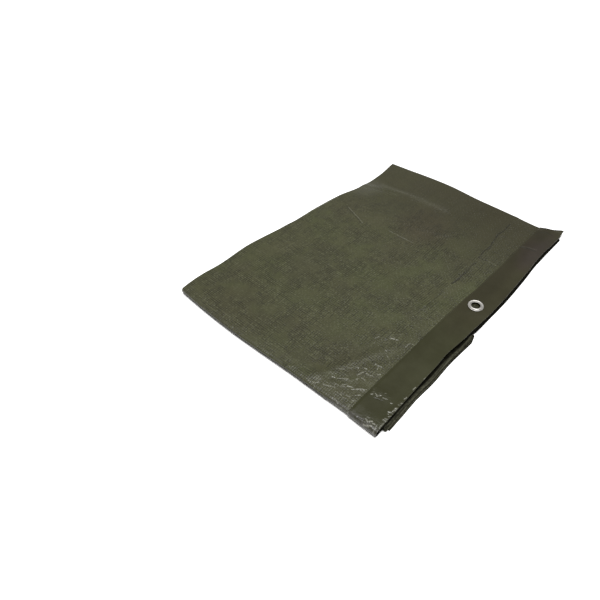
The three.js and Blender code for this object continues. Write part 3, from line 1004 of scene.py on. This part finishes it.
# Creases as (width, strength, points)
wovenPoly = {
    "olive": (0.0430, 0.0440, 0.0185),
    "green": (0.0405, 0.0450, 0.0165),
    "grey": (0.0390, 0.0390, 0.0205),
    "brown": (0.0410, 0.0355, 0.0185),
    "shaded": (0.0220, 0.0195, 0.0070),
    # pale grey of the painted glints along the outermost fold
    "glintGrey": (0.0560, 0.0530, 0.0480),
    # near black of the weave's pits, also used for painted shade in the creases and under the eyelet
    "pit": (0.0080, 0.0075, 0.0020),
    # lighter olive of the painted sheen on the tapes' crowns
    "tapeSheen": (0.105, 0.108, 0.062),
    # pale colour of the painted highlights and glints, and of the coating's whitening at creases
    "worn": (0.24, 0.24, 0.20),
    "roughness": 0.32,
    "specular": 0.4,
    "specks": 0.16,
    "paleAndGlint": 0.65,
    # painted shade in the sharp crease along the hem, its branches and the short one across
    "darkCreases": [
        (1.9, 1.0, [(456, 72.5), (438, 70), (421, 73.3), (401, 71.6), (384, 69.2), (371, 71.4),
                    (356, 70.2)]),
        (1.4, 0.8, [(340, 68.3), (328, 70), (311, 69.6)]),
        (2.3, 1.0, [(311, 69.6), (293, 69.6), (276, 72)]),
        (2.4, 0.45, [(258, 73.3), (240, 71), (203, 70)]), (1.5, 0.8, [(300, 76), (298, 67)]),
        (1.4, 0.7, [(318, 73), (308, 71.5)]), (1.6, 0.9, [(354, 71), (352.5, 63), (355, 57)]),
        (1.4, 0.6, [(317.4, 297), (309, 276), (300.5, 254.6)]), (1.4, 0.7, [(112, 73), (111, 66.6)]),
        (1.4, 0.7, [(94.4, 93.1), (99.2, 92.6)]), (1.3, 0.7, [(87, 76), (84, 66)]),
        (1.3, 0.6, [(70, 94), (66, 84)]),
    ],
    # painted highlights on lit flanks, ridges and the far rim
    "highlightLines": [
        (1.3, 0.22, [(355, 57), (355, 43)]), (1.0, 0.25, [(320, 296), (311.5, 275), (303, 254)]),
        (7, 0.06, [(410, 293), (415, 229), (418, 170)]), (1.4, 0.16, [(315, 212), (315, 167)]),
        (1.0, 0.35, [(243, 338), (287, 333), (331, 327.5)]),
    ],
    # pale crease lines, partly the coating's whitening and partly painted glints
    "paleCreaseLines": [
        (1.3, 1.0, [(31, 90), (33, 86)]), (0.9, 0.9, [(34, 83), (42, 71)]),
        (1.2, 0.9, [(15, 90), (17, 85), (21, 77)]), (0.9, 0.8, [(30, 72), (34, 68)]),
        (1.2, 0.9, [(33, 66), (35, 61)]), (1.1, 1.0, [(33, 59), (41, 50), (44, 45)]),
        (1.1, 0.9, [(9, 103), (11, 98), (15, 97)]), (0.9, 0.7, [(7, 97), (3, 96)]),
        (1.0, 0.8, [(18, 65), (16, 61), (17, 56)]), (1.2, 0.9, [(21, 59), (22, 54)]),
        (1.6, 0.5, [(20, 49), (22, 46)]), (1.2, 0.7, [(28, 50), (32, 46)]),
        (1.1, 0.9, [(8, 66), (6, 59)]), (2.4, 0.3, [(47, 89), (50, 85)]),
        (1.1, 0.5, [(54, 85), (58, 79)]), (1.3, 0.8, [(63, 74), (64, 72)]),
        (1.4, 1.0, [(55, 67), (63, 64)]), (1.1, 0.8, [(68, 66), (70, 63)]),
        (1.1, 0.9, [(64, 60), (64, 56), (66, 51)]), (1.3, 0.8, [(48, 64), (51, 62)]),
        (1.0, 0.7, [(54, 60), (54, 55)]), (1.2, 0.8, [(83, 60), (83, 58)]),
        (1.5, 0.9, [(83, 56), (85, 52)]), (1.0, 0.7, [(77, 53), (81, 54)]),
        (1.6, 0.7, [(72, 48), (74, 46)]), (1.0, 0.9, [(104, 57), (101, 52)]),
        (1.0, 0.6, [(110, 64), (110, 61)]), (0.9, 0.8, [(118, 86), (123, 84)]),
        (1.2, 1.0, [(131, 71), (135, 61)]), (1.0, 1.0, [(131, 48), (141, 46)]),
        (1.6, 0.9, [(2, 58), (4, 52)]), (1.5, 0.9, [(2, 50), (1, 45)]),
        (1.2, 0.8, [(1, 74), (1, 66)]),
    ],
}


def paintedFoldGlints(vector, along, across):
    # painted glints: a pale speckled band along the outermost fold near the corner
    band = times(ramp(along, 0.009, 0.002), ramp(across, 0.085, 0.055, 0.15, 1.0))
    return times(band, ramp(noiseTexture(vector, 380.0, 3.0, 0.7), 0.38, 0.6, 0.1, 0.85))


def makeWovenPoly():
    material, shader = newMaterial("woven poly, olive")
    vector = clothVector()
    along, across = separate(vector)
    weave = useGroup(weaveGroup, Vector=vector)
    mottle = useGroup(mottleGroup, Vector=vector)
    crumple = addNode("ShaderNodeAttribute", attribute_name="crumple").outputs["Fac"]
    crinkle = useGroup(crinkleGroup, Vector=vector, Size=0.005)["Height"]
    dashes = useGroup(dashesGroup, Vector=vector)["Dash"]
    bent = wander(vector, 85.0, 0.0009)
    broken = ramp(noiseTexture(vector, 130.0, 3.0, 0.7), 0.34, 0.5, 0.3, 1.0)
    dark = times(drawLines(bent, onPanel, wovenPoly["darkCreases"]), broken)
    # painted highlights: the tight fold's rim and the other light creases, broken up
    rim = times(ramp(along, 0.4755, 0.4770), ramp(along, 0.4790, 0.4775, 0.0, 0.2))
    light = calc("MAXIMUM", drawLines(bent, onPanel, wovenPoly["highlightLines"]), rim)
    light = times(light, ramp(noiseTexture(vector, 300.0, 2.0, 0.6), 0.3, 0.65, 0.3, 1.4))
    paleAndGlint = paleCreasesAndGlints(vector, bent, crumple, dashes, wovenPoly, onPanel)
    brownPatch = spot(vector, onPanel(365, 175), 0.085, 0.075)
    brown = calc("MAXIMUM", times(mottle["Warm"], 0.25), brownPatch)
    shaded = times(ramp(along, 0.27, 0.47), ramp(across, 0.12, 0.28, 0.95, 0.68))
    shaded = calc("MAXIMUM", shaded, ramp(along, 0.14, 0.02, 0.0, 0.12))

    def layers():
        yield times(mottle["Green"], 0.7), "green"
        yield ramp(mottle["Shade"], 0.6, 0.2, 0.0, 0.6), "grey"
        yield brown, "brown"
        yield shaded, "shaded"
        yield ramp(weave["Tint"], 0.5, 0.3, 0.0, 0.12), "pit"
        showing = calc("MULTIPLY_ADD", brownPatch, 0.3, ramp(along, 0.34, 0.46, 1.0, 0.4))
        # painted sheen on the crowns of the tapes
        yield times(weave["Light"], ramp(along, 0.20, 0.42, 0.36, 0.06)), "tapeSheen"
        # the cloth seen through the eyelet lies in its shade
        shaft = spot(vector, onPanel(eyeletPlace["x"], eyeletPlace["y"]), 0.012, 0.012)
        yield times(shaft, 0.75), "pit"
        yield times(weave["Groove"], showing), "pit"
        # painted glints along the outermost fold
        yield paintedFoldGlints(vector, along, across), "glintGrey"
        # painted highlights on the rim and the light creases
        yield light, "worn"
        # painted shade in the dark creases
        yield dark, "pit"
        # pale marks, partly the coating's whitening and partly painted glints
        yield times(paleAndGlint, wovenPoly["paleAndGlint"]), "worn"

    paint(shader, wovenPoly, "olive", layers())
    rough = addUp((mottle["Shade"], 0.10), (wovenPoly["roughness"] - 0.05, 1.0))
    fillNamed(shader, {"Roughness": rough, "Specular IOR Level": wovenPoly["specular"]})
    gloss = times(spot(vector, onPanel(385, 312), 0.045, 0.05), 0.9)
    fillNamed(shader, {"Coat Weight": gloss, "Coat Roughness": 0.25})
    fine = noiseTexture(vector, 900.0, 2.0, 0.6)
    height = addUp(
        (weave["Height"], 0.08), (weave["Groove"], -0.10), (dark, -0.25), (light, 0.4), (fine, 0.01),
        (times(crinkle, crumple), 0.35), (crinkle, 0.06), (paleAndGlint, 0.4),
    )
    fill(shader.inputs["Normal"], bumpOf(height))
    return material


hemPoly = {
    "olive": (0.0224, 0.0231, 0.0062),
    "brown": (0.0212, 0.0160, 0.0066),
    "cool": (0.0238, 0.0180, 0.0135),
    "dull": (0.0137, 0.0112, 0.0031),
    # darkening towards the hem's inner edge
    "inside": (0.78, 0.75, 0.62),
    # dark olive of the hem's mottling, also used for painted shade in its creases
    "crease": (0.0090, 0.0080, 0.0035),
    # colour of the painted highlight on the hem's inner lip
    "lip": (0.044, 0.044, 0.021),
    "glintGrey": wovenPoly["glintGrey"],
    "worn": wovenPoly["worn"],
    "roughness": 0.32,
    "specular": 0.4,
    "specks": 0.9,
    "paleAndGlint": 0.8,
    # painted shade in the hem's creases
    "darkCreases": [
        (1.7, 0.9, [(415, 39), (417, 34), (421, 25), (423, 14.6)]),
        (1.3, 0.6, [(458, 34), (470, 30), (477, 22), (478, 12)]), (1.2, 0.6, [(40, 32), (43, 22)]),
        (1.2, 0.6, [(6, 30), (7, 22)]),
    ],
    # pale crease lines, partly the coating's whitening and partly painted glints
    "paleCreaseLines": [
        (1.2, 0.7, [(42, 38), (44, 36)]), (1.2, 0.8, [(46, 34), (44, 30)]),
        (1.3, 0.9, [(46, 29), (48, 27)]), (1.0, 0.8, [(47, 24), (49, 19)]),
        (1.0, 0.6, [(47, 13), (48, 11)]), (1.2, 0.9, [(35, 7), (36, 4), (40, 3)]),
        (1.5, 1.0, [(44, 4), (46, 2)]), (1.0, 0.7, [(30, 3), (32, 1)]),
        (1.2, 0.7, [(23, 4), (23, 2)]), (1.2, 0.7, [(12, 6), (6, 5), (2, 4)]),
        (1.2, 0.6, [(18, 2), (10, 2)]), (1.5, 0.9, [(2, 44), (5, 43)]),
        (1.3, 0.8, [(2, 39), (4, 38)]), (1.3, 0.8, [(2, 34), (2, 30)]),
        (1.6, 1.0, [(10, 21), (8, 17)]), (1.8, 1.0, [(10, 16), (12, 13)]),
        (1.5, 0.8, [(4, 19), (5, 12)]), (1.5, 0.8, [(1, 24), (1, 17)]),
        (1.1, 0.9, [(63, 3.5), (67, 3)]), (1.1, 0.9, [(81, 3.6), (86, 3.4)]),
        (1.1, 0.8, [(104, 3), (108, 2.6)]), (1.0, 0.7, [(136, 2.5), (139, 2.2)]),
        (1.4, 0.10, [(419, 36), (424, 25), (427, 15)]),
    ],
}


def makeHemPoly():
    material, shader = newMaterial("sealed hem, dark olive")
    vector = clothVector()
    along, across = separate(vector)
    weave = useGroup(weaveGroup, Vector=vector)
    mottle = useGroup(mottleGroup, Vector=vector)
    crumple = addNode("ShaderNodeAttribute", attribute_name="crumple").outputs["Fac"]
    crinkle = useGroup(crinkleGroup, Vector=vector, Size=0.004)["Height"]
    dashes = useGroup(dashesGroup, Vector=vector)["Dash"]
    bent = wander(vector, 85.0, 0.0009)
    dark = drawLines(bent, onHem, hemPoly["darkCreases"])
    paleAndGlint = paleCreasesAndGlints(vector, bent, crumple, dashes, hemPoly, onHem)

    def layers():
        yield times(ramp(along, 0.16, 0.26), ramp(mottle["Warm"], 0.0, 1.0, 0.45, 1.0)), "brown"
        yield times(spot(vector, onHem(418, 14), 0.062, 0.034), 0.9), "cool"
        # darker towards the hem's inner edge, away from its rim, more so further along
        inside = times(ramp(across, 0.009, 0.026), ramp(along, 0.22, 0.30, 0.35, 1.0))
        yield inside, "inside", "MULTIPLY"
        yield spot(vector, onHem(466, 27), 0.026, 0.019), "dull"
        shade = addUp((mottle["Shade"], 0.5), (weave["Tint"], 0.3))
        yield ramp(shade, 0.2, 0.6, 0.2, 0.0), "crease"
        # painted highlight along the hem's inner lip
        yield times(times(ramp(across, 0.0411, 0.0426), mottle["Shade"]), 0.5), "lip"
        # painted glints along the outermost fold
        yield paintedFoldGlints(vector, along, across), "glintGrey"
        # painted shade in the hem's creases
        yield dark, "crease"
        # pale marks, partly the coating's whitening and partly painted glints
        yield times(paleAndGlint, hemPoly["paleAndGlint"]), "worn"

    paint(shader, hemPoly, "olive", layers())
    rough = addUp((mottle["Shade"], 0.1), (hemPoly["roughness"] - 0.05, 1.0))
    fillNamed(shader, {"Roughness": rough, "Specular IOR Level": hemPoly["specular"]})
    height = addUp(
        (weave["Height"], 0.012), (weave["Groove"], -0.012), (dark, -0.2),
        (times(crinkle, crumple), 0.35), (crinkle, 0.04), (paleAndGlint, 0.4),
    )
    fill(shader.inputs["Normal"], bumpOf(height))
    return material


# near black of the painted shade where plies and folds lie in shade, and the olive of the tucked plies
plyEdges = {
    "dark": (0.0034, 0.0032, 0.0018),
    "light": (0.0100, 0.0095, 0.0052),
    "tucked": (0.0560, 0.0560, 0.0380),
    "roughness": 0.9,
    "specular": 0.05,
}


def makePlyEdges():
    # the folded edges of the plies, in each other's shade, and the tucked end's stripes of plies
    material, shader = newMaterial("ply edges, shaded")
    vector = clothVector()
    along, across = separate(vector)
    worn = ramp(noiseTexture(vector, 160.0, 3.0, 0.6), 0.45, 0.7)
    striped = noiseTexture(vectorCalc("MULTIPLY", vector, (22.0, 420.0, 1.0)), 1.0, 2.0, 0.6)
    spotted = noiseTexture(vector, 330.0, 2.0, 0.6)
    striped = addUp((striped, 0.65), (spotted, 0.35))
    inward = calc("MINIMUM", across, calc("ABSOLUTE", calc("SUBTRACT", across, 0.7005)))
    tucked = times(ramp(along, -0.88, -0.90), ramp(inward, 0.0062, 0.0036))
    tucked = times(tucked, ramp(striped, 0.40, 0.6, 0.2, 1.0))
    # painted shade along the tucked end's rim, but for its nearest part
    rimmed = ramp(calc("ABSOLUTE", calc("ADD", along, 1.13)), 0.17, 0.13)
    rimmed = times(rimmed, ramp(inward, 0.0013, 0.0004))
    tucked = times(tucked, calc("MULTIPLY_ADD", rimmed, -0.85, 1.0))
    paint(shader, plyEdges, "dark", [(worn, "light"), (tucked, "tucked")])
    fillNamed(shader, {
        "Roughness": plyEdges["roughness"], "Specular IOR Level": plyEdges["specular"],
        "Normal": bumpOf(times(worn, 0.1)),
    })
    return material


metal = {
    "clean": (0.43, 0.42, 0.395),
    "worn": (0.30, 0.29, 0.275),
    # colour of the painted shade inside the bore
    "bore": (0.05, 0.05, 0.04),
    "roughness": 0.5,
}


def makeMetal():
    material, shader = newMaterial("eyelet aluminium")
    coordinates = addNode("ShaderNodeTexCoord").outputs["Object"]
    smear = noiseTexture(coordinates, 420.0, 3.0, 0.6, 0.3)
    dull = noiseTexture(coordinates, 1500.0, 2.0, 0.6)
    # painted shade darkens the inside of the bore
    middle = (cornerX + eyeletPlace["x"] * mm, cornerY + eyeletPlace["y"] * mm, 0)
    outward = vectorCalc("MULTIPLY", vectorCalc("SUBTRACT", coordinates, middle), (1, 1, 0))
    bore = ramp(vectorCalc("LENGTH", outward), 0.0066, 0.0061)
    paint(shader, metal, "clean", [(ramp(smear, 0.35, 0.7), "worn"), (bore, "bore")])
    fillNamed(shader, {
        "Metallic": 1.0, "Roughness": addUp((smear, 0.2), (metal["roughness"] - 0.1, 1.0)),
        "Normal": bumpOf(addUp((smear, 0.04), (dull, 0.01))),
    })
    return material


wovenMaterial = makeWovenPoly()
hemMaterial = makeHemPoly()
metalMaterial = makeMetal()
edgeMaterial = makePlyEdges()
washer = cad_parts["eyelet_washer"]
washer.data.materials.clear()
for piece, materials in (
    (clothPiece, [wovenMaterial, edgeMaterial]), (hemPiece, [hemMaterial, edgeMaterial]),
    (eyeletPiece, [metalMaterial]), (washer, [metalMaterial]),
):
    for material in materials:
        piece.data.materials.append(material)
print("materials made")

# Studio: pale floor, a wide soft light from overhead and a pale room
studio = {
    "floor": {"half": 4.0, "colour": (0.93, 0.93, 0.93, 1)},
    "room": {"Color": (1.0, 0.985, 0.94, 1), "Strength": 0.40},
    "light": {"strength": 4.1, "spread": 36, "tilt": 4, "height": 2},
}


def makeStudio():
    bpy.ops.object.select_all(action="DESELECT")
    bpy.ops.mesh.primitive_plane_add(size=studio["floor"]["half"] * 2, location=(0, 0, 0))
    floor = bpy.context.object
    floor.name = "floor"
    material, shader = newMaterial("pale floor")
    fillNamed(shader, {
        "Base Color": studio["floor"]["colour"], "Roughness": 0.9, "Specular IOR Level": 0.1
    })
    floor.data.materials.append(material)
    world = bpy.data.worlds.new("room")
    world.use_nodes = True
    fillNamed(world.node_tree.nodes["Background"], studio["room"])
    bpy.context.scene.world = world
    light = bpy.data.lights.new("overhead", "SUN")
    light.energy = studio["light"]["strength"]
    light.angle = math.radians(studio["light"]["spread"])
    lamp = bpy.data.objects.new("overhead", light)
    lamp.location = (0, 0, studio["light"]["height"])
    lamp.rotation_euler = (math.radians(studio["light"]["tilt"]), 0, 0)
    bpy.context.scene.collection.objects.link(lamp)
    bpy.context.scene.view_settings.view_transform = "Standard"


makeStudio()
print("studio lit")

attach(clothPiece, "root")
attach(hemPiece, "root")
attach(eyeletPiece, "root")
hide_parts("folded_cloth")
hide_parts("hem_strip")
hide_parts("eyelet")
